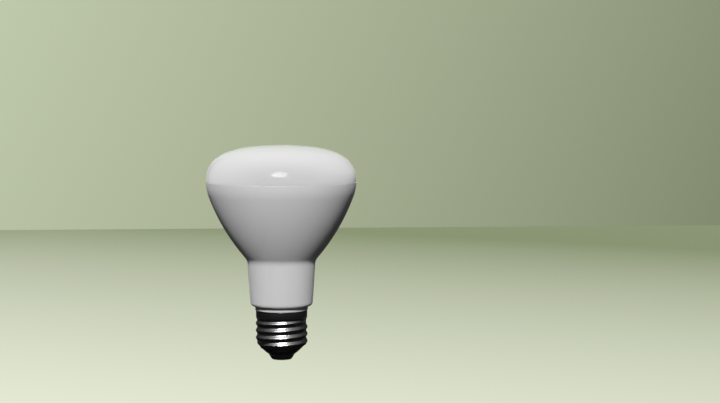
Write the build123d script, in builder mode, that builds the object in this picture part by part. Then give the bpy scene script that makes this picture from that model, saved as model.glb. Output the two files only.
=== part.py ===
import os
from math import asin, atan2, cos, degrees, hypot, radians, sin, tan

from build123d import *

# A reflector bulb on a screw cap, cap down and lens up.
# Sizes are in millimetres and angles in degrees. Heights start at the flat face of the
# centre contact, which is the origin, and the bulb's axis is Z.

# Whole bulb
overall_length = 109.2
rim_diameter = 76.2
seam_height = 90.7
fit_clearance = 0.05

# Lens: a short upright wall, then a conic that ends level at the crown
lens_step = 0.15
lens_wall_height = 1.2
lens_fullness = 1.09
register_height = 2.0
rim_seat = 2.2

# Housing: cone, neck and collar
rim_edge_bevel = 0.25
shoulder_radius = 21.0
shoulder_sweep = 20.0
neck_top_diameter = 34.6
neck_top_height = 50.7
crease_radius = 6.0
neck_foot_diameter = 31.6
neck_foot_height = 27.3
neck_foot_round = 2.2
collar_diameter = 26.8
collar_edge_bevel = 0.2

# Screw shell: plain skirt, rolled thread and turned-in foot
shell_top_height = 25.4
skirt_diameter = 26.1
skirt_wall = 0.35
skirt_foot_height = 21.7
skirt_shoulder_rise = 1.6
skirt_shoulder_round = 1.2
thread_crest_diameter = 26.4
thread_root_diameter = 24.9
thread_round = 0.7
thread_pitch = 3.629
thread_turns = 3.125
thread_start_height = 8.25
thread_start_azimuth = 255.0
thread_runout = 0.25
thread_runout_depth = 2.2
thread_root_depth = 2.0
thread_path_steps = 16
valley_flat = 0.4
shell_wall = 0.4
lip_diameter = 20.5
lip_height = 5.7
lip_wall = 0.4
foot_angle = 42.0
foot_stand = 0.4

# Insulator and centre contact
insulator_flange = 2.0
insulator_drop = 0.45
insulator_bulge = 0.12
insulator_margin = 0.15
contact_height = 2.65
contact_diameter = 13.0
contact_rim = 0.3
contact_face_diameter = 10.0
contact_edge_round = 0.8
stem_diameter = 4.8
stem_length = 3.0

# Radii that several pieces share
rim_radius = rim_diameter / 2
register_radius = rim_radius - rim_seat
lens_radius = rim_radius - lens_step
skirt_radius = skirt_diameter / 2
skirt_bore_radius = skirt_radius - skirt_wall
crest_radius = thread_crest_diameter / 2
root_radius = thread_root_diameter / 2
shell_bore_radius = root_radius - shell_wall
lip_radius = lip_diameter / 2
lip_bore_radius = lip_radius - lip_wall
contact_radius = contact_diameter / 2
stem_radius = stem_diameter / 2

# Thread wave: round crest, straight flanks and round valley, with a narrow flat in the valley
half_pitch = thread_pitch / 2
round_span = 2 * thread_round
round_drop = round_span - (crest_radius - root_radius)
flank_angle = asin(round_span / hypot(half_pitch, round_drop)) - atan2(round_drop, half_pitch)
valley_angle = asin(valley_flat / 2 / thread_round)
core_radius = root_radius + thread_round * (1 - cos(valley_angle))
ridge_height = crest_radius - core_radius
ridge_half_width = half_pitch - valley_flat / 2

# Heights that several pieces share
register_top = seam_height + register_height
foot_knee_height = lip_height + (core_radius - lip_radius) / tan(radians(foot_angle))
ledge_height = foot_knee_height + shell_wall
spigot_end_height = ledge_height + insulator_flange
skirt_ledge_height = skirt_foot_height + shell_wall

os.makedirs("parts", exist_ok=True)

# Lens: a closed opal dome with a recess that drops over the housing's register
with BuildPart() as lens:
    with BuildSketch(Plane.XZ):
        with BuildLine():
            recess_top = (0, register_top + fit_clearance)
            recess_edge = (register_radius + fit_clearance, register_top + fit_clearance)
            recess_mouth = (register_radius + fit_clearance, seam_height)
            seam_edge = (lens_radius, seam_height)
            wall_top = (lens_radius, seam_height + lens_wall_height)
            corner = (lens_radius, overall_length)
            crown = (0, overall_length)
            Polyline(crown, recess_top, recess_edge, recess_mouth, seam_edge, wall_top)
            Bezier(wall_top, corner, crown, weights=[1, lens_fullness, 1])
        make_face()
    revolve(axis=Axis.Z)

# Housing: one moulding, from the spigot inside the cap up to the register under the lens
with BuildPart() as housing:
    with BuildSketch(Plane.XZ) as housing_section:
        with BuildLine():
            rim_edge = (rim_radius, seam_height)
            crease = (neck_top_diameter / 2, neck_top_height)
            neck_foot = (neck_foot_diameter / 2, neck_foot_height)
            collar_edge = (collar_diameter / 2, shell_top_height)
            shoulder = JernArc(rim_edge, (0, -1), shoulder_radius, -shoulder_sweep)
            TangentArc(shoulder @ 1, crease, tangent=shoulder % 1)
            Polyline(
                crease,
                neck_foot,
                (collar_diameter / 2, neck_foot_height),
                collar_edge,
                (skirt_bore_radius - fit_clearance, shell_top_height),
                (skirt_bore_radius - fit_clearance, skirt_ledge_height),
                (shell_bore_radius - fit_clearance, skirt_ledge_height),
                (shell_bore_radius - fit_clearance, spigot_end_height),
                (0, spigot_end_height),
                (0, register_top),
                (register_radius, register_top),
                (register_radius, seam_height),
                rim_edge,
            )
        make_face()
        fillet(housing_section.vertices().sort_by_distance(crease)[0], crease_radius)
        fillet(housing_section.vertices().sort_by_distance(neck_foot)[0], neck_foot_round)
        chamfer(housing_section.vertices().sort_by_distance(collar_edge)[0], collar_edge_bevel)
        chamfer(housing_section.vertices().sort_by_distance(rim_edge)[0], rim_edge_bevel)
    revolve(axis=Axis.Z)

# Path of the thread: a right-hand helix on the shell's core that sinks under it at both ends
path_turns = thread_turns + 2 * thread_runout
path_points = []
for step in range(round(path_turns * thread_path_steps) + 1):
    turn = step / thread_path_steps - thread_runout
    sunk = max(-turn, turn - thread_turns, 0) / thread_runout
    path_radius = core_radius - thread_runout_depth * sunk**2 * (3 - 2 * sunk)
    path_height = thread_start_height + thread_pitch * turn
    azimuth = radians(thread_start_azimuth + 360 * turn)
    path_points.append(Vector(path_radius * cos(azimuth), path_radius * sin(azimuth), path_height))
path_start = path_points[0]
path_end = path_points[-1]

# Thread: the rolled ridge, rooted through the shell's wall and cut to run off over the foot
with BuildPart() as thread:
    with BuildLine() as thread_path:
        Spline(path_points)
    with BuildLine() as thread_axis:
        Line((0, 0, path_start.Z), (0, 0, path_end.Z))
    outward = Vector(path_start.X, path_start.Y, 0).normalized()
    with BuildSketch(Plane(path_start, x_dir=outward, z_dir=outward.cross(Vector(0, 0, 1)))) as ridge:
        with BuildLine():
            flank_degrees = degrees(flank_angle)
            crest_centre = (ridge_height - thread_round, 0)
            crest = CenterArc(crest_centre, thread_round, -flank_degrees, 2 * flank_degrees)
            flank_foot = thread_round * (cos(valley_angle) - cos(flank_angle))
            flank_reach = half_pitch - thread_round * sin(flank_angle)
            upper_flank = Line(crest @ 1, (flank_foot, flank_reach))
            lower_flank = Line(crest @ 0, (flank_foot, -flank_reach))
            upper = TangentArc(upper_flank @ 1, (0, ridge_half_width), tangent=upper_flank % 1)
            lower = TangentArc(lower_flank @ 1, (0, -ridge_half_width), tangent=lower_flank % 1)
            Polyline(
                upper @ 1,
                (-thread_root_depth, ridge_half_width),
                (-thread_root_depth, -ridge_half_width),
                lower @ 1,
            )
        make_face()
    sweep(ridge.sketch, path=thread_path.line, binormal=thread_axis.wire())
    with BuildSketch(Plane.XZ):
        with BuildLine():
            foot_slope = tan(radians(foot_angle))
            clear_radius = crest_radius + foot_stand
            clear_height = lip_height + (clear_radius - lip_radius - foot_stand) / foot_slope
            Polyline(
                (0, lip_height),
                (lip_radius + foot_stand, lip_height),
                (clear_radius, clear_height),
                (clear_radius, shell_top_height),
                (0, shell_top_height),
                close=True,
            )
        make_face()
    revolve(axis=Axis.Z, mode=Mode.INTERSECT)

# Screw shell: skirt, core and foot as one turned form, then the thread, then the inside
with BuildPart() as screw_shell:
    with BuildSketch(Plane.XZ) as shell_section:
        with BuildLine():
            skirt_foot = (skirt_radius, skirt_foot_height)
            core_top = (core_radius, skirt_foot_height - skirt_shoulder_rise)
            Polyline(
                (0, shell_top_height),
                (skirt_radius, shell_top_height),
                skirt_foot,
                core_top,
                (core_radius, foot_knee_height),
                (lip_radius, lip_height),
                (0, lip_height),
                close=True,
            )
        make_face()
        fillet(shell_section.vertices().sort_by_distance(skirt_foot)[0], skirt_shoulder_round)
        fillet(shell_section.vertices().sort_by_distance(core_top)[0], skirt_shoulder_round)
    revolve(axis=Axis.Z)
    add(thread.part)
    with BuildSketch(Plane.XZ):
        with BuildLine():
            Polyline(
                (0, lip_height),
                (lip_bore_radius, lip_height),
                (lip_bore_radius, ledge_height),
                (shell_bore_radius, ledge_height),
                (shell_bore_radius, skirt_ledge_height),
                (skirt_bore_radius, skirt_ledge_height),
                (skirt_bore_radius, shell_top_height),
                (0, shell_top_height),
                close=True,
            )
        make_face()
    revolve(axis=Axis.Z, mode=Mode.SUBTRACT)

# Insulator: a flange on the shell's ledge, a plug through the lip and the bare cone below it
with BuildPart() as insulator:
    with BuildSketch(Plane.XZ):
        with BuildLine():
            plug_radius = lip_bore_radius - fit_clearance
            cone_top = (plug_radius, lip_height - insulator_drop)
            cone_foot = (contact_radius + insulator_margin, contact_height)
            SagittaArc(cone_top, cone_foot, insulator_bulge)
            Polyline(
                cone_foot,
                (0, contact_height),
                (0, spigot_end_height),
                (shell_bore_radius - fit_clearance, spigot_end_height),
                (shell_bore_radius - fit_clearance, ledge_height),
                (plug_radius, ledge_height),
                cone_top,
            )
        make_face()
    revolve(axis=Axis.Z)
    with BuildSketch(Plane.XY.offset(contact_height)):
        Circle(stem_radius + fit_clearance)
    extrude(amount=stem_length + fit_clearance, mode=Mode.SUBTRACT)

# Centre contact: a blunt cone on a stem, seated flat against the insulator
with BuildPart() as centre_contact:
    with BuildSketch(Plane.XZ) as contact_section:
        with BuildLine():
            face_edge = (contact_face_diameter / 2, 0)
            Polyline(
                (0, 0),
                face_edge,
                (contact_radius, contact_height - contact_rim),
                (contact_radius, contact_height),
                (stem_radius, contact_height),
                (stem_radius, contact_height + stem_length),
                (0, contact_height + stem_length),
                close=True,
            )
        make_face()
        fillet(contact_section.vertices().sort_by_distance(face_edge)[0], contact_edge_round)
    revolve(axis=Axis.Z)

lens.part.label = "lens"
export_step(lens.part, "parts/lens.step")
housing.part.label = "housing"
export_step(housing.part, "parts/housing.step")
screw_shell.part.label = "screw_shell"
export_step(screw_shell.part, "parts/screw_shell.step")
insulator.part.label = "insulator"
export_step(insulator.part, "parts/insulator.step")
centre_contact.part.label = "centre_contact"
export_step(centre_contact.part, "parts/centre_contact.step")
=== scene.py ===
# %% [markdown]
# # A reflector bulb
# The bulb is held cap down, with its opal lens up. Five pieces were made apart and pressed or glued
# together: the lens, the housing, the screw shell, the insulator and the centre contact.
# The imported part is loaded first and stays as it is. It is the ruler for everything below: each
# piece here takes the place of one solid, has that solid's form, and adds the fine edges and the
# finish that the solid lacks. Lengths in the scene are metres, as they are in the frame.

# %% Load the frame
from math import asin, atan2, cos, degrees, hypot, pi, radians, sin, sqrt, tan

import bmesh
import bpy
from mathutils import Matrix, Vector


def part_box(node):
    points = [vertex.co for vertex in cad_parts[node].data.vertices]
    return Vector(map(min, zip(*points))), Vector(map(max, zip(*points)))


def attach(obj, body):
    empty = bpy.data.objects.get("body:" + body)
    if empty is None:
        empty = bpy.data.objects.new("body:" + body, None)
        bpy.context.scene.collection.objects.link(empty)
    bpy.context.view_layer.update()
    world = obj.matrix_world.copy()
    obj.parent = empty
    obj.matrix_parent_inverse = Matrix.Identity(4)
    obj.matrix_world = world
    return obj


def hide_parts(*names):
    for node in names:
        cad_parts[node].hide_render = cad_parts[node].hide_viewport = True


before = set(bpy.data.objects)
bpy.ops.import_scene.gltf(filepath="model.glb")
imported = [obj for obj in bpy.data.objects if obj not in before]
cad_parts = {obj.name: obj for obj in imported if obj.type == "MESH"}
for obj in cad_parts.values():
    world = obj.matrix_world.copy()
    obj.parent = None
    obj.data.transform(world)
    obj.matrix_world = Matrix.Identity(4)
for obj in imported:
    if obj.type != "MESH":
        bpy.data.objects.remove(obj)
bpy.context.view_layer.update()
MM = 0.001


# %% [markdown]
# ## Sections, as on a lathe drawing
# Everything on this bulb is turned or moulded round one axis, so each piece starts as half a
# section: points with a radius and a height, in millimetres. Typing curves point by point would be
# slow and would not stay smooth, so small helpers give the curves that a drawing has: an arc round a
# centre, a rounded corner and a conic. One more cuts long runs into short ones, for the thread.

# %% Helpers for sections


def arc(centre, radius, start, end, steps=16):
    """Points on an arc, with its two angles in degrees."""
    angles = [radians(start + (end - start) * i / steps) for i in range(steps + 1)]
    return [(centre[0] + radius * cos(a), centre[1] + radius * sin(a)) for a in angles]


def heading(centre, point):
    """The angle in degrees from a centre to a point."""
    return degrees(atan2(point[1] - centre[1], point[0] - centre[0]))


def rounded(before, corner, after, radius, steps=6):
    """A corner between two straight lines, turned into an arc."""
    arms = []
    for end in (before, after):
        length = hypot(end[0] - corner[0], end[1] - corner[1])
        arms.append(((end[0] - corner[0]) / length, (end[1] - corner[1]) / length))
    (ax, ay), (bx, by) = arms
    half = asin(sqrt((1 - (ax * bx + ay * by)) / 2))
    reach = radius / tan(half)
    middle = (ax + bx, ay + by)
    span = radius / sin(half) / hypot(*middle)
    centre = (corner[0] + middle[0] * span, corner[1] + middle[1] * span)
    start = heading(centre, (corner[0] + ax * reach, corner[1] + ay * reach))
    end = heading(centre, (corner[0] + bx * reach, corner[1] + by * reach))
    turn = (end - start + 180) % 360 - 180
    return arc(centre, radius, start, start + turn, steps)


def conic(start, corner, end, fullness, steps):
    """A curve from start to end that aims at the corner; fullness 1 is a parabola."""
    points = []
    for i in range(steps + 1):
        t = i / steps
        a, b, c = (1 - t) ** 2, 2 * t * (1 - t) * fullness, t**2
        total = a + b + c
        points.append(tuple((a * p + b * q + c * r) / total for p, q, r in zip(start, corner, end)))
    return points


def divided(points, longest):
    """The same line with its long runs cut into short ones."""
    fine = [points[0]]
    for (r0, z0), (r1, z1) in zip(points, points[1:]):
        cuts = max(1, round(hypot(r1 - r0, z1 - z0) / longest))
        fine += [(r0 + (r1 - r0) * i / cuts, z0 + (z1 - z0) * i / cuts) for i in range(1, cuts + 1)]
    return fine


# %% [markdown]
# ## Turning a section into a piece
# A lathe sweeps a section round an axis. In Geometry Nodes that is Curve to Mesh, with the section
# as the profile and a small circle as the path. A Screw modifier would also do it, but here the
# same tree can close the poles, mark the sharp edges and set the finish, and its sizes are inputs
# that can be read by name. Curve to Mesh lays the profile's Y axis downwards, so the section is
# flipped on its way in.

# %% The turning tree
HUB_RADIUS = 1 * MM
WELD_DISTANCE = 0.002 * MM


def start_tree(name, sockets):
    """A new Geometry Nodes tree with geometry in, geometry out and named inputs."""
    tree = bpy.data.node_groups.new(name, "GeometryNodeTree")
    tree.interface.new_socket("Geometry", in_out="INPUT", socket_type="NodeSocketGeometry")
    tree.interface.new_socket("Geometry", in_out="OUTPUT", socket_type="NodeSocketGeometry")
    for label, kind in sockets.items():
        tree.interface.new_socket(label, in_out="INPUT", socket_type=kind)
    return tree, tree.nodes.new("NodeGroupInput").outputs


def node(tree, kind, outlet=0, settings=None, **inputs):
    """Adds a node, sets or links its inputs by name or number, and gives one of its outputs."""
    made = tree.nodes.new(kind)
    for label, value in (settings or {}).items():
        setattr(made, label, value)
    for label, value in inputs.items():
        number = label[1:]
        socket = made.inputs[int(number) if number.isdigit() else label.replace("_", " ")]
        if isinstance(value, bpy.types.NodeSocket):
            tree.links.new(value, socket)
        else:
            socket.default_value = value
    return made.outputs[outlet]


def end_tree(tree, geometry, material):
    """Finishes a tree with Realize Instances and Set Material."""
    solid = node(tree, "GeometryNodeRealizeInstances", Geometry=geometry)
    dressed = node(tree, "GeometryNodeSetMaterial", Geometry=solid, Material=material)
    tree.links.new(dressed, tree.nodes.new("NodeGroupOutput").inputs[0])


turned, given = start_tree("turned_piece", {
    "Sides": "NodeSocketInt",
    "Sharp Edge Angle": "NodeSocketFloat",
    "Finish": "NodeSocketMaterial",
})
section_curve = node(turned, "GeometryNodeMeshToCurve", Mesh=given["Geometry"])
profile = node(turned, "GeometryNodeTransform", Geometry=section_curve,
               Translation=(-HUB_RADIUS, 0, 0), Scale=(1, -1, 1))
path = node(turned, "GeometryNodeCurvePrimitiveCircle", Resolution=given["Sides"], Radius=HUB_RADIUS)
swept = node(turned, "GeometryNodeCurveToMesh", Curve=path, Profile_Curve=profile)
welded = node(turned, "GeometryNodeMergeByDistance", Geometry=swept, Distance=WELD_DISTANCE)
edge_angle = node(turned, "GeometryNodeInputMeshEdgeAngle")
soft_edge = node(turned, "FunctionNodeCompare", settings={"operation": "LESS_THAN"},
                 _0=edge_angle, _1=given["Sharp Edge Angle"])
smooth_edges = node(turned, "GeometryNodeSetShadeSmooth", settings={"domain": "EDGE"},
                    Geometry=welded, Shade_Smooth=soft_edge)
end_tree(turned, smooth_edges, given["Finish"])
print("turning tree:", len(turned.nodes), "nodes")

# %% [markdown]
# The section goes in as a wire: a mesh of points and edges only. Its points can carry a number,
# which the sweep hands on to the finished mesh; the screw shell uses that to say which of its walls
# is threaded. After the tree has run, the result is made a plain mesh and its modifiers go, so the
# object that the frame gets is nothing but a mesh at the origin. A closed form can come out of a
# sweep with its faces turned inwards, so the faces are turned outwards once, at the end.

# %% From section to mesh
SHARP_EDGE_ANGLE = radians(32)
SIDES, FINE_SIDES = 192, 256
CUBIC_CM = (10 * MM) ** 3
LOW_CORNER, HIGH_CORNER = 0, 6


def add_tree(piece, tree, values):
    """Puts a tree on a piece and sets its inputs by their identifiers."""
    modifier = piece.modifiers.new(tree.name, "NODES")
    modifier.node_group = tree
    for item in tree.interface.items_tree:
        if item.in_out == "INPUT" and item.name in values:
            modifier[item.identifier] = values[item.name]


def turn_piece(name, section, material, sides=SIDES, ring=False, threaded_points=0, thread_values=None):
    """Turns a section about Z and gives the finished piece as a plain mesh object."""
    wire = bpy.data.meshes.new(name + "_section")
    links = [(i, i + 1) for i in range(len(section) - 1)] + ([(len(section) - 1, 0)] if ring else [])
    wire.from_pydata([(r * MM, z * MM, 0) for r, z in section], links, [])
    wall = wire.attributes.new("threaded_wall", "FLOAT", "POINT")
    wall.data.foreach_set("value", [float(i < threaded_points) for i in range(len(section))])
    blank = bpy.data.objects.new(name + "_blank", wire)
    bpy.context.scene.collection.objects.link(blank)
    add_tree(blank, turned, {"Sides": sides, "Sharp Edge Angle": SHARP_EDGE_ANGLE, "Finish": material})
    if thread_values:
        add_tree(blank, rolled_thread, thread_values)
    mesh = bpy.data.meshes.new_from_object(blank.evaluated_get(bpy.context.evaluated_depsgraph_get()))
    bpy.data.objects.remove(blank)
    work = bmesh.new()
    work.from_mesh(mesh)
    bmesh.ops.recalc_face_normals(work, faces=work.faces)
    open_edges = sum(1 for edge in work.edges if not edge.is_manifold)
    volume = work.calc_volume(signed=True)
    work.to_mesh(mesh)
    work.free()
    mesh.name = name
    piece = bpy.data.objects.new(name, mesh)
    bpy.context.scene.collection.objects.link(piece)
    print(name, "faces", len(mesh.polygons), "open edges", open_edges,
          "volume cm3", round(volume / CUBIC_CM, 3))
    return piece


def dress(piece, cad_node):
    """Hands a finished piece to the frame in place of its CAD node."""
    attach(piece, "root")
    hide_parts(cad_node)
    low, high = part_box(cad_node)
    corners = ((piece.bound_box[LOW_CORNER], low), (piece.bound_box[HIGH_CORNER], high))
    drift = max(abs(a - b) for corner, limit in corners for a, b in zip(corner, limit))
    print(piece.name, "differs from its solid's box by", round(drift / MM, 3), "mm")


# %% [markdown]
# ## Finishes
# A moulded surface is never quite even: the polish of the mould, the skin of the plastic and
# handling all change the gloss a little from place to place. So each finish has the same three
# layers, at this object's scale: a slow change of shade, a finer change of roughness, and a very
# shallow bump. All of them read Object coordinates, so they stay with the piece in any view.

# %% Helpers for finishes
NOISE_LOW, NOISE_HIGH = 0.3, 0.7
DRIFT_PATCHES, POLISH_PATCHES, SKIN_PATCHES = 28.0, 160.0, 700.0


def start_finish(name, **values):
    """A material with a Principled shader whose constant values are set on its own sockets."""
    material = bpy.data.materials.new(name)
    material.use_nodes = True
    tree = material.node_tree
    shader = tree.nodes["Principled BSDF"]
    for label, value in values.items():
        shader.inputs[label.replace("_", " ")].default_value = value
    place = node(tree, "ShaderNodeTexCoord", outlet="Object")
    return material, tree, shader, place


def cloud(tree, place, scale, detail=3.0):
    """Soft noise from 0 to 1; scale is in patches per metre."""
    return node(tree, "ShaderNodeTexNoise", Vector=place, Scale=scale, Detail=detail)


def axes(tree, vector):
    """The X, Y and Z of a vector."""
    return tuple(node(tree, "ShaderNodeSeparateXYZ", Vector=vector).node.outputs)


def between(tree, factor, low, high, start=NOISE_LOW, end=NOISE_HIGH):
    """Runs from low to high while the factor runs from start to end."""
    return node(tree, "ShaderNodeMapRange", Value=factor, From_Min=start, From_Max=end,
                To_Min=low, To_Max=high)


def two_shades(tree, factor, first, second):
    """A colour that moves from one shade to another; a shade is three numbers or a node's output."""
    first, second = (shade if isinstance(shade, bpy.types.NodeSocket) else (*shade, 1)
                     for shade in (first, second))
    # A Mix node has its two colours at inputs 6 and 7 and their mix at output 2.
    return node(tree, "ShaderNodeMix", outlet=2, settings={"data_type": "RGBA"},
                _0=factor, _6=first, _7=second)


def shallow_bump(tree, height, depth):
    """A bump of that depth in metres."""
    return node(tree, "ShaderNodeBump", Height=height, Strength=1.0, Distance=depth)


def moulded_finish(name, shade, spread, roughness, bump_depth, **values):
    """Moulded plastic: a shade with a slow drift, uneven gloss and a faint skin."""
    material, tree, shader, place = start_finish(name, **values)
    darker = tuple(c - spread for c in shade)
    drift = between(tree, cloud(tree, place, DRIFT_PATCHES), 0, 1)
    tree.links.new(two_shades(tree, drift, darker, shade), shader.inputs["Base Color"])
    polish = between(tree, cloud(tree, place, POLISH_PATCHES, detail=5.0), *roughness)
    tree.links.new(polish, shader.inputs["Roughness"])
    skin = shallow_bump(tree, cloud(tree, place, SKIN_PATCHES, detail=2.0), bump_depth)
    tree.links.new(skin, shader.inputs["Normal"])
    return material


# %% [markdown]
# ## The lens
# The lens is a shallow opal dome, moulded in one piece, with a short upright wall at its foot where
# it drops over the housing. A squashed sphere would be too round at the shoulder and too flat at
# the crown, so the section uses a conic that leaves the wall upright and reaches the crown level.
# Opal plastic scatters light under its skin, so its shading is flatter than that of paint: a full
# diffuse roughness gives that, and a low specular level leaves one soft oval where the lamp shows.

# %% Lens
OVERALL_LENGTH = 109.2
RIM_RADIUS = 38.1
SEAM_HEIGHT = 90.7
LENS_STEP = 0.15
LENS_WALL_HEIGHT = 1.2
LENS_FULLNESS = 1.09
REGISTER_INSET, REGISTER_RISE = 2.2, 2.0
REGISTER_RADIUS = RIM_RADIUS - REGISTER_INSET
REGISTER_TOP = SEAM_HEIGHT + REGISTER_RISE
FIT = 0.05
LENS_EDGE_ROUND = 0.12

opal = moulded_finish("opal_lens_finish", (0.79, 0.79, 0.79), spread=0.012, roughness=(0.08, 0.12),
                      bump_depth=0.003 * MM, Diffuse_Roughness=1.0, Specular_IOR_Level=0.064)
lens_radius = RIM_RADIUS - LENS_STEP
wall_top = (lens_radius, SEAM_HEIGHT + LENS_WALL_HEIGHT)
seam_corner = (lens_radius, SEAM_HEIGHT)
recess_mouth = (REGISTER_RADIUS + FIT, SEAM_HEIGHT)
lens_section = conic((0, OVERALL_LENGTH), (lens_radius, OVERALL_LENGTH), wall_top, LENS_FULLNESS,
                     steps=96)
lens_section += rounded(wall_top, seam_corner, recess_mouth, LENS_EDGE_ROUND)
lens_section += [recess_mouth, (REGISTER_RADIUS + FIT, REGISTER_TOP + FIT), (0, REGISTER_TOP + FIT)]
lens = turn_piece("opal_lens", lens_section, opal, sides=FINE_SIDES)
dress(lens, "lens")

# %% [markdown]
# ## The housing
# Cone, neck and collar are one white moulding. Seen from the side, the cone starts upright at the
# rim, turns in over a tight shoulder and then runs down on a much larger arc to a soft crease. The
# neck below it narrows a little, ends in a round edge, and a thin collar steps down to the cap.
# The large arc is found as a draughtsman would: it leaves the shoulder smoothly and has to pass
# through the crease, which leaves only one circle. The white skin is satin and shows no lamp, so
# its specular level is 0, and a rough diffuse shade keeps it even up to where it turns from the key.

# %% Housing section
SHOULDER_RADIUS, SHOULDER_SWEEP = 21.0, 20.0
NECK_TOP = (17.3, 50.7)
NECK_FOOT = (15.8, 27.3)
CREASE_RADIUS = 6.0


def step_along(point, direction, distance):
    """The point that lies that far from another, in a direction."""
    return (point[0] + direction[0] * distance, point[1] + direction[1] * distance)


def dot(a, b):
    """How far one direction goes along another."""
    return a[0] * b[0] + a[1] * b[1]


shoulder_centre = (RIM_RADIUS - SHOULDER_RADIUS, SEAM_HEIGHT)
shoulder = arc(shoulder_centre, SHOULDER_RADIUS, 0, -SHOULDER_SWEEP, steps=24)
inward = (-cos(radians(SHOULDER_SWEEP)), sin(radians(SHOULDER_SWEEP)))
to_crease = (NECK_TOP[0] - shoulder[-1][0], NECK_TOP[1] - shoulder[-1][1])
cone_radius = dot(to_crease, to_crease) / (2 * dot(inward, to_crease))
cone_centre = step_along(shoulder[-1], inward, cone_radius)

neck_slant = atan2(NECK_TOP[1] - NECK_FOOT[1], NECK_TOP[0] - NECK_FOOT[0])
neck_up = (cos(neck_slant), sin(neck_slant))
neck_out = (sin(neck_slant), -cos(neck_slant))
beside_foot = step_along(NECK_FOOT, neck_out, CREASE_RADIUS)
to_foot = (beside_foot[0] - cone_centre[0], beside_foot[1] - cone_centre[1])
lengthwise = dot(to_foot, neck_up)
spare = (cone_radius + CREASE_RADIUS) ** 2 - dot(to_foot, to_foot)
crease_centre = step_along(beside_foot, neck_up, -lengthwise - sqrt(lengthwise**2 + spare))
cone_end = heading(cone_centre, crease_centre)
neck_start = step_along(crease_centre, neck_out, -CREASE_RADIUS)
print("large arc of the cone has a radius of", round(cone_radius, 1), "mm; the neck starts",
      round(neck_start[1], 2), "mm up")

# %% Housing
NECK_FOOT_ROUND = 2.2
COLLAR_RADIUS, SHELL_TOP = 13.4, 25.4
RIM_EDGE_ROUND, COLLAR_EDGE_ROUND = 0.25, 0.2
SKIRT_BORE, SKIRT_LEDGE = 12.7, 22.1
SHELL_BORE, SPIGOT_END = 12.05, 10.576

white = moulded_finish("white_housing_finish", (0.80, 0.80, 0.80), spread=0.012, roughness=(0.34, 0.44),
                       bump_depth=0.006 * MM, Diffuse_Roughness=0.3, Specular_IOR_Level=0.0)
register_foot = (REGISTER_RADIUS, SEAM_HEIGHT)
rim = (RIM_RADIUS, SEAM_HEIGHT)
collar_top = (COLLAR_RADIUS, NECK_FOOT[1])
collar_edge = (COLLAR_RADIUS, SHELL_TOP)
spigot_top = (SKIRT_BORE - FIT, SHELL_TOP)
housing_section = [(0, REGISTER_TOP), (REGISTER_RADIUS, REGISTER_TOP), register_foot]
housing_section += rounded(register_foot, rim, (RIM_RADIUS, NECK_FOOT[1]), RIM_EDGE_ROUND)
housing_section += shoulder[1:]
cone_start = heading(cone_centre, shoulder[-1])
housing_section += arc(cone_centre, cone_radius, cone_start, cone_end, steps=64)[1:]
crease_start = heading(crease_centre, housing_section[-1])
crease_turn = (heading(crease_centre, neck_start) - crease_start + 180) % 360 - 180
housing_section += arc(crease_centre, CREASE_RADIUS, crease_start, crease_start + crease_turn)[1:]
housing_section += rounded(neck_start, NECK_FOOT, collar_top, NECK_FOOT_ROUND, steps=16)
housing_section += [collar_top]
housing_section += rounded(collar_top, collar_edge, spigot_top, COLLAR_EDGE_ROUND)
housing_section += [spigot_top, (SKIRT_BORE - FIT, SKIRT_LEDGE), (SHELL_BORE - FIT, SKIRT_LEDGE)]
housing_section += [(SHELL_BORE - FIT, SPIGOT_END), (0, SPIGOT_END)]
housing = turn_piece("white_housing", housing_section, white, sides=FINE_SIDES)
dress(housing, "housing")

# %% [markdown]
# ## The thread
# The screw shell is thin sheet, rolled between two dies so that it takes a round, rope-like thread:
# one ridge that climbs to the right and fades into the sheet at both ends. A helix swept with a
# round profile would lie on the shell as a separate coil. Here the thread is a rule instead: from
# its angle and height each point of the wall knows how far it is from the middle of the ridge, and
# that distance gives its radius. Equal rounds at crest and valley, with a straight flank between,
# make the wave. The ridge sinks at its ends, never stands above the slope of the foot, and joins
# the plain sheet with a soft maximum, as rolled metal does.

# %% The thread tree
rolled_thread, asked = start_tree("rolled_thread", {
    "Crest Radius": "NodeSocketFloat",
    "Root Radius": "NodeSocketFloat",
    "Round Radius": "NodeSocketFloat",
    "Flank Angle": "NodeSocketFloat",
    "Pitch": "NodeSocketFloat",
    "Turns": "NodeSocketFloat",
    "Start Height": "NodeSocketFloat",
    "Start Angle": "NodeSocketFloat",
    "Run Out": "NodeSocketFloat",
    "Run Out Depth": "NodeSocketFloat",
    "Foot Radius": "NodeSocketFloat",
    "Foot Height": "NodeSocketFloat",
    "Foot Slope": "NodeSocketFloat",
    "Blend": "NodeSocketFloat",
    "Finish": "NodeSocketMaterial",
})


def calc(operation, *values, tree=rolled_thread):
    """One Math node; its values are numbers or outputs of other nodes."""
    numbered = {"_" + str(i): value for i, value in enumerate(values)}
    return node(tree, "ShaderNodeMath", settings={"operation": operation}, **numbered)


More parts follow.
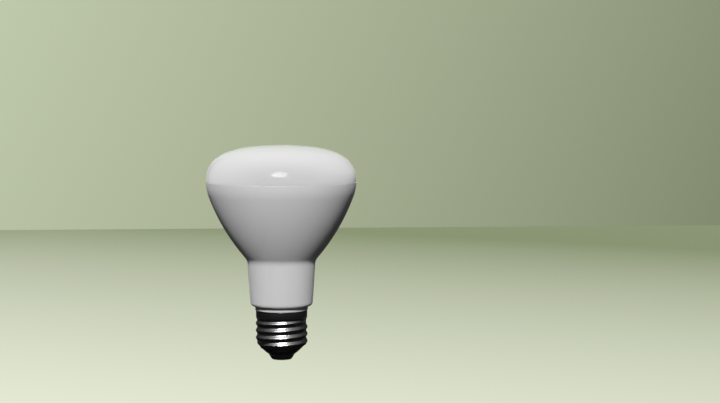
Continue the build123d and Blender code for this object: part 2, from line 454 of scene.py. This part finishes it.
across, deep, height = axes(rolled_thread, node(rolled_thread, "GeometryNodeInputPosition"))
plain_radius = calc("SQRT", calc("MULTIPLY_ADD", across, across, calc("MULTIPLY", deep, deep)))
angle = calc("SUBTRACT", calc("ARCTAN2", deep, across), asked["Start Angle"])
angle_turns = calc("DIVIDE", angle, 2 * pi)
height_turns = calc("DIVIDE", calc("SUBTRACT", height, asked["Start Height"]), asked["Pitch"])
lap = calc("ROUND", calc("SUBTRACT", height_turns, angle_turns))
place_on_ridge = calc("ADD", angle_turns, lap)
turns_off_crest = calc("ABSOLUTE", calc("SUBTRACT", height_turns, place_on_ridge))
from_crest = calc("MULTIPLY", turns_off_crest, asked["Pitch"])
from_valley = calc("SUBTRACT", calc("MULTIPLY", asked["Pitch"], 0.5), from_crest)
round_square = calc("MULTIPLY", asked["Round Radius"], asked["Round Radius"])
round_reach = calc("MULTIPLY", asked["Round Radius"], calc("SINE", asked["Flank Angle"]))


def arc_height(distance):
    """How high a round of the wave stands over its centre, at a distance from its middle."""
    return calc("SQRT", calc("SUBTRACT", round_square, calc("MULTIPLY", distance, distance)))


def choose(distance, near, other):
    """One radius within the reach of a round, another beyond it."""
    within = calc("LESS_THAN", distance, round_reach)
    return calc("MULTIPLY_ADD", within, calc("SUBTRACT", near, other), other)


crest_centre = calc("SUBTRACT", asked["Crest Radius"], asked["Round Radius"])
crest_round = calc("ADD", crest_centre, arc_height(from_crest))
valley_centre = calc("ADD", asked["Root Radius"], asked["Round Radius"])
valley_round = calc("SUBTRACT", valley_centre, arc_height(from_valley))
middle = calc("MULTIPLY", calc("ADD", asked["Crest Radius"], asked["Root Radius"]), 0.5)
from_middle = calc("MULTIPLY", calc("SUBTRACT", from_valley, from_crest), 0.5)
flank = calc("MULTIPLY_ADD", from_middle, calc("TANGENT", asked["Flank Angle"]), middle)
wave = choose(from_crest, crest_round, choose(from_valley, valley_round, flank))
past_end = calc("MAXIMUM", calc("MULTIPLY", place_on_ridge, -1),
                calc("SUBTRACT", place_on_ridge, asked["Turns"]))
sunk = node(rolled_thread, "ShaderNodeMapRange", settings={"interpolation_type": "SMOOTHSTEP"},
            Value=past_end, From_Max=asked["Run Out"], To_Max=asked["Run Out Depth"])
above_foot = calc("SUBTRACT", height, asked["Foot Height"])
foot_limit = calc("MULTIPLY_ADD", above_foot, asked["Foot Slope"], asked["Foot Radius"])
on_ridge = calc("LESS_THAN", past_end, asked["Run Out"])
ridge = calc("MULTIPLY", on_ridge, calc("MINIMUM", calc("SUBTRACT", wave, sunk), foot_limit))
rolled_radius = calc("SMOOTH_MAX", plain_radius, ridge, asked["Blend"])
threaded_wall = node(rolled_thread, "GeometryNodeInputNamedAttribute", Name="threaded_wall")
growth = calc("SUBTRACT", calc("DIVIDE", rolled_radius, plain_radius), 1)
stretch = calc("MULTIPLY_ADD", threaded_wall, growth, 1)
moved = node(rolled_thread, "ShaderNodeCombineXYZ", X=calc("MULTIPLY", across, stretch),
             Y=calc("MULTIPLY", deep, stretch), Z=height)
threaded = node(rolled_thread, "GeometryNodeSetPosition", Geometry=asked["Geometry"], Position=moved)
end_tree(rolled_thread, threaded, asked["Finish"])
print("thread tree:", len(rolled_thread.nodes), "nodes")

# %% [markdown]
# ## Dark plated metal
# The cap is thin metal with a polished dark plating, so most of what it shows is reflection: white
# bars where the thread faces the lamp, and near black elsewhere, where it mirrors the painted dark
# shade that the stage shows to reflections. Drawing and rolling leave faint
# lines round the cap, which spread a reflection sideways more than up and down. Anisotropic does
# that, with a tangent that runs round the Z axis. The lines themselves are noise stretched along the
# turn: its height is read finely and its angle coarsely. A black edge tint keeps the sides of the
# cap dark, and the plating is a little duller where fingers and the lamp holder have rubbed it.

# %% Metal finish
SIDEWAYS_SPREAD = 0.77
LINES_PER_METRE, LINE_CELLS_PER_RADIAN = 4200.0, 0.6
LINE_DEPTH, LINE_DULLING = 0.0004 * MM, 0.02
RUBBED_PATCHES = 260.0


def plated_finish(name, shade, spread, roughness):
    """Dark plating with rolling lines round the axis."""
    material, tree, shader, place = start_finish(name, Metallic=1.0, Anisotropic=SIDEWAYS_SPREAD,
                                                 Specular_Tint=(0, 0, 0, 1))
    grain = node(tree, "ShaderNodeTangent", settings={"direction_type": "RADIAL", "axis": "Z"})
    tree.links.new(grain, shader.inputs["Tangent"])
    x, y, z = axes(tree, place)
    along = calc("MULTIPLY", calc("ARCTAN2", y, x, tree=tree), LINE_CELLS_PER_RADIAN, tree=tree)
    lines_place = node(tree, "ShaderNodeCombineXYZ", X=along,
                       Y=calc("MULTIPLY", z, LINES_PER_METRE, tree=tree))
    lines = cloud(tree, lines_place, scale=1.0)
    rubbed = cloud(tree, place, RUBBED_PATCHES, detail=4.0)
    lighter = tuple(c + spread for c in shade)
    tint = two_shades(tree, between(tree, rubbed, 0, 1), shade, lighter)
    tree.links.new(tint, shader.inputs["Base Color"])
    polish = between(tree, rubbed, *roughness)
    dull = calc("MULTIPLY_ADD", between(tree, lines, -0.5, 0.5), LINE_DULLING, polish, tree=tree)
    tree.links.new(dull, shader.inputs["Roughness"])
    tree.links.new(shallow_bump(tree, lines, LINE_DEPTH), shader.inputs["Normal"])
    return material


dark_plating = plated_finish("dark_plating_finish", (0.35, 0.35, 0.355), spread=0.03,
                             roughness=(0.245, 0.265))
print("plating made:", dark_plating.name)

# %% [markdown]
# ## The screw shell
# From the top down: a plain skirt, a shoulder, the threaded wall, a foot that turns in, and a lip.
# The section is a closed ring, because the shell is a thin wall that is open at both ends. Its
# outer line is cut into steps of a twentieth of a millimetre so that the thread has points to move.

# %% Screw shell
SKIRT_RADIUS, SKIRT_FOOT = 13.05, 21.7
SHOULDER_RISE, SHOULDER_ROUND = 1.6, 1.2
CREST_RADIUS, ROOT_RADIUS, THREAD_ROUND = 13.2, 12.45, 0.7
PITCH, TURNS = 3.629, 3.125
START_HEIGHT, START_ANGLE = 8.25, 255.0
RUN_OUT, RUN_OUT_DEPTH = 0.25, 2.2
VALLEY_FLAT = 0.4
LIP_RADIUS, LIP_BORE, LIP_HEIGHT = 10.25, 9.85, 5.7
FOOT_ANGLE = 42.0
FOOT_SLOPE = tan(radians(FOOT_ANGLE))
FOOT_STAND = 0.4
SHELL_WALL = 0.4
KNEE_ROUND, SHELL_EDGE_ROUND, LIP_EDGE_ROUND = 0.5, 0.12, 0.05
THREAD_STEP = 0.05
THREAD_BLEND = 0.12

round_drop = 2 * THREAD_ROUND - (CREST_RADIUS - ROOT_RADIUS)
flank_angle = asin(2 * THREAD_ROUND / hypot(PITCH / 2, round_drop)) - atan2(round_drop, PITCH / 2)
core_radius = ROOT_RADIUS + THREAD_ROUND - sqrt(THREAD_ROUND**2 - (VALLEY_FLAT / 2) ** 2)
knee = (core_radius, LIP_HEIGHT + (core_radius - LIP_RADIUS) / FOOT_SLOPE)
ledge = knee[1] + SHELL_WALL
skirt_top = (SKIRT_RADIUS, SHELL_TOP)
skirt_foot = (SKIRT_RADIUS, SKIRT_FOOT)
core_top = (core_radius, SKIRT_FOOT - SHOULDER_RISE)
lip = (LIP_RADIUS, LIP_HEIGHT)
lip_inside = (LIP_BORE, LIP_HEIGHT)
thread_bed = rounded(skirt_top, skirt_foot, core_top, SHOULDER_ROUND)
thread_bed += rounded(skirt_foot, core_top, knee, SHOULDER_ROUND)
thread_bed += rounded(core_top, knee, lip, KNEE_ROUND)
thread_bed += rounded(knee, lip, lip_inside, LIP_EDGE_ROUND)
outer_wall = rounded((SKIRT_BORE, SHELL_TOP), skirt_top, skirt_foot, SHELL_EDGE_ROUND)
outer_wall += divided(thread_bed, THREAD_STEP)
inner_wall = [lip_inside, (LIP_BORE, ledge), (SHELL_BORE, ledge), (SHELL_BORE, SKIRT_LEDGE)]
inner_wall += [(SKIRT_BORE, SKIRT_LEDGE), (SKIRT_BORE, SHELL_TOP)]
shell = turn_piece("screw_shell_rolled", outer_wall + inner_wall, dark_plating, ring=True,
                   threaded_points=len(outer_wall), thread_values={
                       "Crest Radius": CREST_RADIUS * MM,
                       "Root Radius": ROOT_RADIUS * MM,
                       "Round Radius": THREAD_ROUND * MM,
                       "Flank Angle": flank_angle,
                       "Pitch": PITCH * MM,
                       "Turns": TURNS,
                       "Start Height": START_HEIGHT * MM,
                       "Start Angle": radians(START_ANGLE),
                       "Run Out": RUN_OUT,
                       "Run Out Depth": RUN_OUT_DEPTH * MM,
                       "Foot Radius": (LIP_RADIUS + FOOT_STAND) * MM,
                       "Foot Height": LIP_HEIGHT * MM,
                       "Foot Slope": FOOT_SLOPE,
                       "Blend": THREAD_BLEND * MM,
                       "Finish": dark_plating,
                   })
dress(shell, "screw_shell")

# %% [markdown]
# ## Insulator and centre contact
# The insulator is a black, glossy plug: a flange inside the shell, a short neck through its lip and
# a cone below it that bulges slightly. The contact is a blunt cone of plated metal with a softened
# edge round its flat face and a stem that holds it in the insulator.

# %% Insulator
FLANGE_RADIUS = SHELL_BORE - FIT
PLUG_RADIUS = LIP_BORE - FIT
CONE_TOP_HEIGHT = 5.25
CONTACT_HEIGHT, CONTACT_RADIUS = 2.65, 6.5
CONE_FOOT_STEP = 0.15
CONE_FOOT_RADIUS = CONTACT_RADIUS + CONE_FOOT_STEP
CONE_BULGE, BULGE_LEAN, BULGE_STEPS = 0.12, radians(42.0), 12
STEM_RADIUS, STEM_TOP = 2.4, 5.65

black = moulded_finish("black_insulator_finish", (0.016, 0.016, 0.017), spread=0.004,
                       roughness=(0.16, 0.26), bump_depth=0.004 * MM)
bulge = []
for i in range(BULGE_STEPS + 1):
    t = i / BULGE_STEPS
    swell = 4 * CONE_BULGE * t * (1 - t)
    bulge.append((PLUG_RADIUS + (CONE_FOOT_RADIUS - PLUG_RADIUS) * t + swell * sin(BULGE_LEAN),
                  CONE_TOP_HEIGHT + (CONTACT_HEIGHT - CONE_TOP_HEIGHT) * t - swell * cos(BULGE_LEAN)))
insulator_section = [(0, SPIGOT_END), (FLANGE_RADIUS, SPIGOT_END), (FLANGE_RADIUS, ledge)]
insulator_section += [(PLUG_RADIUS, ledge)] + bulge + [(STEM_RADIUS + FIT, CONTACT_HEIGHT)]
insulator_section += [(STEM_RADIUS + FIT, STEM_TOP + FIT), (0, STEM_TOP + FIT)]
insulator = turn_piece("black_insulator", insulator_section, black)
dress(insulator, "insulator")

# %% Centre contact
FACE_RADIUS, FACE_EDGE_ROUND = 5.0, 0.8
CONTACT_RIM, CONTACT_RIM_ROUND = 0.3, 0.15

contact_plating = plated_finish("contact_plating_finish", (0.30, 0.30, 0.305), spread=0.03,
                                roughness=(0.255, 0.28))
face_edge = (FACE_RADIUS, 0)
contact_shoulder = (CONTACT_RADIUS, CONTACT_HEIGHT - CONTACT_RIM)
contact_top = (CONTACT_RADIUS, CONTACT_HEIGHT)
contact_section = [(0, 0)] + rounded((0, 0), face_edge, contact_shoulder, FACE_EDGE_ROUND, steps=12)
contact_section += rounded(face_edge, contact_shoulder, contact_top, CONTACT_RIM_ROUND)
contact_section += [contact_top, (STEM_RADIUS, CONTACT_HEIGHT), (STEM_RADIUS, STEM_TOP), (0, STEM_TOP)]
contact = turn_piece("contact_button", contact_section, contact_plating)
dress(contact, "centre_contact")

# %% [markdown]
# ## Floor and wall
# The bulb hangs free in front of a pale green wall and over a floor of the same paint. Both are
# plain planes, and both are clear from their back, so the bulb can be looked at from below too. Each
# paint has a lit part, which takes the lamps and the bulb's shadow, and a part that glows for the
# camera and for reflections: painted light, standing for the wash of light on a studio wall. This
# painted wash fades to the right and towards the line where floor and wall meet. Light that bounces
# sees only a faint even glow, so the sides of the bulb stay deep but not black. Polished metal would
# mirror a whole pale room, so reflections see a painted dark shade beside and in front of the bulb,
# which stands for the black cards of a product studio.

# %% Stage paint
FLOOR_DROP = 0.12
WALL_DISTANCE = 2.19
WALL_TURN = radians(4.6)
STAGE_HALF = 6.0
ROOM_SHADE = (0.42, 0.47, 0.33)
# A painted dark shade that reflections see in place of the pale paint and sky, standing for black studio
# cards.
PAINTED_REFLECTION_DARK = (0.010, 0.011, 0.009)
BOUNCE_SHADE = (0.03, 0.03, 0.03)
LIT_SHARE = 0.3
PAINT_PATCHES, PAINT_UNEVENNESS = 2.0, 0.03
POOL_WIDENING = 0.24
POOL_SIDE_START, POOL_SIDE_END = 0.28, 0.48
POOL_FRONT_START, POOL_FRONT_END = 0.46, 0.20


def seen_by_eye(tree):
    """1 for the camera and for what mirrors and glass show, 0 for light that bounces."""
    camera_ray = node(tree, "ShaderNodeLightPath")
    rays = camera_ray.node.outputs
    mirrored = calc("MAXIMUM", rays["Is Glossy Ray"], rays["Is Transmission Ray"], tree=tree)
    return calc("MAXIMUM", camera_ray, mirrored, tree=tree)


def in_mirrors(tree):
    """1 for what polished surfaces show."""
    return node(tree, "ShaderNodeLightPath").node.outputs["Is Glossy Ray"]


def washed_paint(name, first, second, wash):
    """Matt paint with painted light: it moves from a pale to a darker shade as a painted wash of light
    fades, and part of it glows.
    """
    material = bpy.data.materials.new(name)
    material.use_nodes = True
    tree = material.node_tree
    tree.nodes.clear()
    place = node(tree, "ShaderNodeTexCoord", outlet="Object")
    # Random paint unevenness plus the painted fade of light.
    grain = calc("MULTIPLY_ADD", cloud(tree, place, PAINT_PATCHES), PAINT_UNEVENNESS,
                 wash(tree, place), tree=tree)
    # Reflections beside and in front of the bulb see a painted dark shade.
    painted_dark_in_reflections = calc("MULTIPLY", in_mirrors(tree), far_from_pool(tree, place), tree=tree)
    shade = two_shades(tree, painted_dark_in_reflections, two_shades(tree, grain, first, second), PAINTED_REFLECTION_DARK)
    lit = node(tree, "ShaderNodeBsdfDiffuse", Color=shade)
    glow = node(tree, "ShaderNodeEmission", Color=shade)
    both = node(tree, "ShaderNodeMixShader", _0=LIT_SHARE, _1=glow, _2=lit)
    bounce = node(tree, "ShaderNodeEmission", Color=(*BOUNCE_SHADE, 1))
    surface = node(tree, "ShaderNodeMixShader", _0=seen_by_eye(tree), _1=bounce, _2=both)
    underneath = node(tree, "ShaderNodeNewGeometry", outlet="Backfacing")
    surface = node(tree, "ShaderNodeMixShader", _0=underneath, _1=surface,
                   _2=node(tree, "ShaderNodeBsdfTransparent"))
    tree.links.new(surface, tree.nodes.new("ShaderNodeOutputMaterial").inputs["Surface"])
    return material


def wall_wash(tree, place):
    """Painted light fall-off: the wall darkens from its left to its right, and a little towards its
    foot.
    """
    x, _, z = axes(tree, place)
    sideways = between(tree, x, 0, 1, start=-0.75, end=0.85)
    upwards = between(tree, z, -0.1, 0.1, start=-0.2, end=0.5)
    return calc("SUBTRACT", sideways, upwards, tree=tree)


def floor_wash(tree, place):
    """Painted light fall-off: the floor darkens towards the wall and to the right."""
    x, y, _ = axes(tree, place)
    backwards = between(tree, y, 0, 1, start=0.5, end=2.3)
    sideways = between(tree, x, -0.05, 0.3, start=-0.5, end=0.7)
    return calc("ADD", backwards, sideways, tree=tree)


def ramp(tree, value, start, end):
    """A soft step from 0 to 1."""
    return node(tree, "ShaderNodeMapRange", settings={"interpolation_type": "SMOOTHSTEP"},
                Value=value, From_Min=start, From_Max=end)


def far_from_pool(tree, place):
    """Where reflections see a painted dark shade: 0 in the part of the stage that the picture shows, 1
    beside it and in front of it.
    """
    x, y, _ = axes(tree, place)
    from_axis = calc("MULTIPLY_ADD", y, -POOL_WIDENING, calc("ABSOLUTE", x, tree=tree), tree=tree)
    sideways = ramp(tree, from_axis, POOL_SIDE_START, POOL_SIDE_END)
    forwards = ramp(tree, calc("MULTIPLY", y, -1, tree=tree), -POOL_FRONT_START, -POOL_FRONT_END)
    return calc("MAXIMUM", sideways, forwards, tree=tree)


wall_paint = washed_paint("wall_paint", (0.69, 0.77, 0.54), (0.29, 0.33, 0.205), wall_wash)
floor_paint = washed_paint("floor_paint", (0.885, 0.935, 0.75), (0.275, 0.325, 0.19), floor_wash)
print("paints:", wall_paint.name, floor_paint.name)

# %% Stage


def flat_plane(name, corners, material):
    """A four-cornered plane that belongs to the stage."""
    mesh = bpy.data.meshes.new(name)
    mesh.from_pydata(corners, [], [(0, 1, 2, 3)])
    mesh.materials.append(material)
    plane = bpy.data.objects.new(name, mesh)
    bpy.context.scene.collection.objects.link(plane)
    return plane


def stage_corner(side, depth, height):
    """A corner of the stage, on the line of the slanted wall or in front of it."""
    return (side * STAGE_HALF, depth + side * STAGE_HALF * tan(WALL_TURN), height)


floor_back = [stage_corner(side, WALL_DISTANCE, -FLOOR_DROP) for side in (1, -1)]
floor_front = [stage_corner(side, -STAGE_HALF, -FLOOR_DROP) for side in (-1, 1)]
wall_head = [stage_corner(side, WALL_DISTANCE, STAGE_HALF) for side in (1, -1)]
flat_plane("floor", floor_front + floor_back, floor_paint)
back_wall = flat_plane("back_wall", wall_head + floor_back[::-1], wall_paint)
back_wall.visible_shadow = False
print("stage: floor", FLOOR_DROP, "m under the contact, wall", WALL_DISTANCE, "m behind")

# %% [markdown]
# ## Light
# The key light comes from the front, a little from the left and from above. It is two round lamps in
# almost one place. The small lamp lights the bulb but shows in no reflection, and because it is
# small, the cone turns quickly into its own shade. The large panel shows in reflections only, and
# makes the bright oval on the lens and the bars on the thread. Two wide lamps far behind light the
# back of the bulb, past a wall that casts no shadow.

# %% Lamps
LAMP_AIM_HEIGHT = 0.06


def lamp(name, azimuth, elevation, distance, diameter, level):
    """A round lamp that aims at the bulb; level 1 renders a white sheet facing it as white."""
    light = bpy.data.lights.new(name, "AREA")
    light.shape = "DISK"
    light.size = diameter
    light.energy = level * (pi * distance) ** 2
    stand = bpy.data.objects.new(name, light)
    azimuth, elevation = radians(azimuth), radians(elevation)
    reach = distance * cos(elevation)
    rise = distance * sin(elevation)
    stand.location = (reach * sin(azimuth), -reach * cos(azimuth), rise + LAMP_AIM_HEIGHT)
    stand.rotation_euler = (pi / 2 - elevation, 0, azimuth)
    bpy.context.scene.collection.objects.link(stand)
    return stand


key = lamp("key_lamp", azimuth=-2.5, elevation=36, distance=2.4, diameter=0.4, level=0.89)
key.visible_glossy = False
panel = lamp("key_panel", azimuth=-0.5, elevation=29.5, distance=2.4, diameter=1.0, level=2.0)
panel.visible_diffuse = False
for side, azimuth in (("left", -160), ("right", 160)):
    back_wash = lamp("back_wash_lamp_" + side, azimuth, elevation=15, distance=6, diameter=2, level=0.45)
    back_wash.visible_glossy = False

world = bpy.data.worlds.new("studio")
world.use_nodes = True
sky = world.node_tree
# The camera sees the room shade in the sky, reflections a painted dark shade.
room = two_shades(sky, in_mirrors(sky), ROOM_SHADE, PAINTED_REFLECTION_DARK)
sky_shade = two_shades(sky, seen_by_eye(sky), BOUNCE_SHADE, room)
sky.links.new(sky_shade, sky.nodes["Background"].inputs["Color"])
bpy.context.scene.world = world

# %% [markdown]
# ## Camera
# The picture was taken with a long lens, almost level: the camera looks along +Y, four degrees down.

# %% Camera
LENS_LENGTH, SENSOR_WIDTH = 85.0, 36.0
CAMERA_PLACE = (0.0400, -0.8615, 0.1408)
LOOK_DOWN = 4

eye = bpy.data.cameras.new("camera")
eye.lens = LENS_LENGTH
eye.sensor_width = SENSOR_WIDTH
camera = bpy.data.objects.new("camera", eye)
camera.location = CAMERA_PLACE
camera.rotation_euler = (radians(90 - LOOK_DOWN), 0, 0)
bpy.context.scene.collection.objects.link(camera)
bpy.context.scene.camera = camera
bpy.context.scene.view_settings.view_transform = "Standard"
print("camera at", CAMERA_PLACE, "m")
